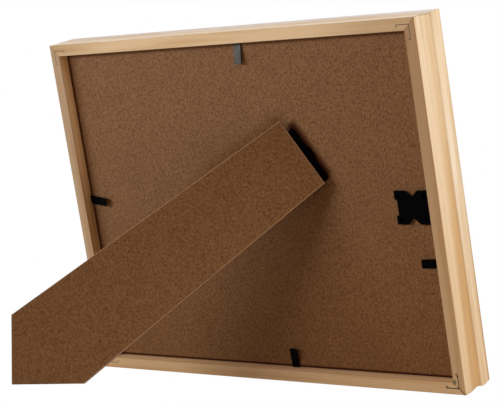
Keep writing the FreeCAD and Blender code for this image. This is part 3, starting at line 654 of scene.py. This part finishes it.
def soften(place, upright):
    """Moves a place on a rail's outer side to the soft outline."""
    from_side = HALF_WIDTH - abs(place.x)
    from_end = HALF_HEIGHT - abs(place.z - HALF_HEIGHT)
    if (from_side if upright else from_end) > OUTER_REACH:
        return
    mitred = abs(from_side - from_end) < MITRE_SLACK
    depth = -place.y
    inset = outline_inset(depth)
    if inset > 0.0 and depth > BULGE_DEPTH and place.x > BULGE_X and place.z > BULGE_HEIGHT:
        inset = inset * BULGE_SHARE
    extra = SIDE_LIP_EXTRA if inset < 0.0 and depth > LIP_DEPTH else 0.0
    rise = 0.0
    if mitred and place.x < 0.0 and place.z < RISE_HEIGHT:
        rise = max(0.0, depth - RISE_DEPTH) * RISE_SLOPE
    if upright or mitred:
        place.x = math.copysign(HALF_WIDTH - inset + extra, place.x)
    if mitred or not upright:
        place.z = HALF_HEIGHT + math.copysign(HALF_HEIGHT - inset, place.z - HALF_HEIGHT) + rise


def cut(work, place, normal):
    """Adds corners and edges where a plane crosses the mesh."""
    everything = work.verts[:] + work.edges[:] + work.faces[:]
    bmesh.ops.bisect_plane(work, geom=everything, dist=MERGE_DISTANCE, plane_co=place, plane_no=normal)


def softened_rail(node, name, upright):
    """A copy of a rail whose outer side follows the soft outline, mitres included."""
    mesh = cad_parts[node].data.copy()
    mesh.name = name
    if "custom_normal" in mesh.attributes:
        mesh.attributes.remove(mesh.attributes["custom_normal"])
    work = bmesh.new()
    work.from_mesh(mesh)
    work.transform(TO_FLAT)
    bmesh.ops.remove_doubles(work, verts=work.verts, dist=MERGE_DISTANCE)
    for depth, _ in OUTLINE[1:-1]:
        cut(work, (0.0, -depth, 0.0), (0.0, 1.0, 0.0))
    if node == "bottom_rail":
        cut(work, (RISE_X, 0.0, 0.0), (1.0, 0.0, 0.0))
    for corner in work.verts:
        soften(corner.co, upright)
    bmesh.ops.remove_doubles(work, verts=work.verts, dist=MERGE_DISTANCE)
    for face in work.faces:
        face.smooth = True
    work.transform(TO_FLAT.inverted())
    work.to_mesh(mesh)
    work.free()
    mesh.set_sharp_from_angle(angle=SOFT_ANGLE)
    rail = bpy.data.objects.new(name, mesh)
    scene.collection.objects.link(rail)
    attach(rail, "frame")
    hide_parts(node)


for side in ("top", "bottom", "left", "right"):
    softened_rail(f"{side}_rail", f"{side}_moulding", side in ("left", "right"))


# Floor and surroundings: plain white to the camera and in reflections, and dimmer and warmer as light

WHITE = (1.0, 1.0, 1.0)
FLOOR_SIZE = 12.0
FLOOR_DROP = 0.0001
FLOOR_NOISE = (30.0, 2.0)
FLOOR_SPAN = (0.3, 0.7)
FLOOR_TONES = ((0.80, 0.68, 0.56), (0.83, 0.71, 0.59))
FILL_TONE = (1.0, 0.56, 0.29)
FILL_STRENGTH = 0.28


def stage_material():
    """A pale matt floor that the camera and the reflections see as plain white."""
    look = Shader("pale_floor")
    soft = look.noise(look.place(), *FLOOR_NOISE)
    colour = look.mix(look.span(soft, *FLOOR_SPAN), *FLOOR_TONES)
    matt = look.add("BsdfDiffuse", {"Color": colour})
    white = look.add("Emission", {"Color": opaque(WHITE), "Strength": 1.0})
    rays = look.add("LightPath").outputs
    seen = look.most(rays["Is Camera Ray"], rays["Is Glossy Ray"])
    look.show(look.add("MixShader", {0: seen, 1: matt.outputs[0], 2: white.outputs[0]}))
    return look.material


def studio_world():
    """A weak warm fill light behind a plain white background."""
    world = bpy.data.worlds.new("studio")
    world.use_nodes = True
    nodes = Nodes(world.node_tree, "ShaderNodeOutputWorld")
    rays = nodes.add("LightPath").outputs
    seen = nodes.most(rays["Is Camera Ray"], rays["Is Transmission Ray"], rays["Is Glossy Ray"])
    white = nodes.add("Background", {0: opaque(WHITE), 1: 1.0})
    fill = nodes.add("Background", {0: opaque(FILL_TONE), 1: FILL_STRENGTH})
    nodes.show(nodes.add("MixShader", {0: seen, 1: fill.outputs[0], 2: white.outputs[0]}))
    return world


bpy.ops.mesh.primitive_plane_add(size=FLOOR_SIZE, location=(0.0, 0.0, -FLOOR_DROP))
floor = bpy.context.object
floor.name = "floor"
floor.data.materials.append(stage_material())
scene.world = studio_world()


# Lamps, aimed at the part's middle or at its right side

CENTRE = (0.0, -0.02, 0.13)
RIGHT_SIDE = (-0.15, -0.03, 0.11)
COOL = (0.92, 0.97, 1.0)
SKY = (0.86, 0.95, 1.0)


def lamp(name, place, target, size, watts, colour):
    """A rectangular lamp that faces its target."""
    data = bpy.data.lights.new(name, "AREA")
    data.shape = "RECTANGLE"
    data.size, data.size_y = size
    data.energy = watts
    data.color = colour
    light = bpy.data.objects.new(name, data)
    light.location = place
    light.rotation_euler = (Vector(target) - Vector(place)).to_track_quat("-Z", "Y").to_euler()
    scene.collection.objects.link(light)


lamp("key", (1.41, 1.80, 0.45), CENTRE, size=(1.6, 0.5), watts=46.0, colour=COOL)
lamp("side", (-1.6, -0.10, 0.50), RIGHT_SIDE, size=(0.7, 0.5), watts=18.5, colour=COOL)
lamp("over", (0.0, -0.10, 1.75), CENTRE, size=(1.0, 1.0), watts=7.5, colour=SKY)
lamp("front", (0.4, -1.6, 0.9), CENTRE, size=(0.9, 0.9), watts=10.0, colour=WHITE)


# Camera, fitted to the photograph, with its lens and sensor in millimetres

CAMERA_PLACE = (-0.797596, 0.929928, 0.132081)
CAMERA_TURN = (1.565200, 0.0055072, -2.448420)
LENS = 129.76
SENSOR_WIDTH = 36.0
CLIP_START = 0.01
CLIP_END = 50.0

camera_data = bpy.data.cameras.new("camera")
camera_data.lens = LENS
camera_data.sensor_width = SENSOR_WIDTH
camera_data.clip_start = CLIP_START
camera_data.clip_end = CLIP_END
camera = bpy.data.objects.new("camera", camera_data)
camera.location = CAMERA_PLACE
camera.rotation_euler = Euler(CAMERA_TURN, "XYZ")
scene.collection.objects.link(camera)
scene.camera = camera

scene.view_settings.view_transform = "Standard"
